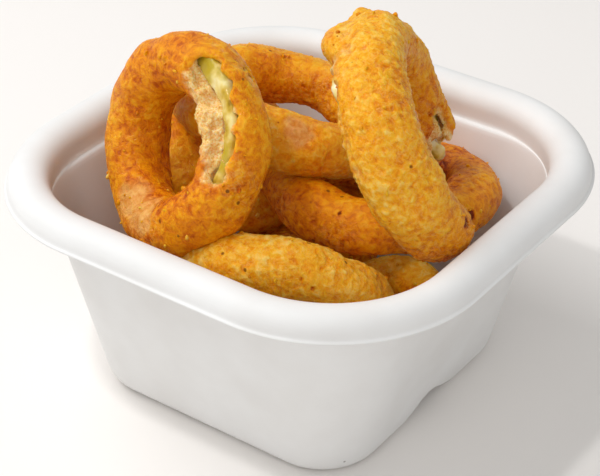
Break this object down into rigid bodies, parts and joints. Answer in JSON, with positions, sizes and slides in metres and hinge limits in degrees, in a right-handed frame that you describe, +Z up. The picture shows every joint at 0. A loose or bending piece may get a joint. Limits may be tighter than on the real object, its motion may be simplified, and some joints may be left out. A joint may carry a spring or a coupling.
{
  "type": "onion rings side dish",
  "caption": "Battered fried onion rings piled in a moulded pulp box with a rolled rim; two rings are torn and show the onion inside.",
  "frame": {"origin": "on the table, under the middle of the box", "axes": "+X runs along the box's slightly longer side, along which the air channel under its base runs; +Z is up out of the open top; -Y is the front, where the torn ring leans over the rim"},
  "size_m": [0.1316, 0.1266, 0.1047],
  "materials": {
    "pulp": "matte pressed plant fibre, off-white with faint grey specks",
    "batter": "fried batter crust, golden brown, uneven and slightly oily",
    "onion": "cooked onion, pale yellow-green, wet and translucent"
  },
  "bodies": {
    "root": {"box": "pulp", "ring_a_batter": "batter", "ring_a_onion": "onion", "ring_b_batter": "batter", "ring_b_onion": "onion", "ring_c": "batter", "ring_d": "batter", "ring_e": "batter", "ring_f": "batter", "ring_g": "batter", "ring_h": "batter", "ring_i": "batter"}
  },
  "joints": []
}
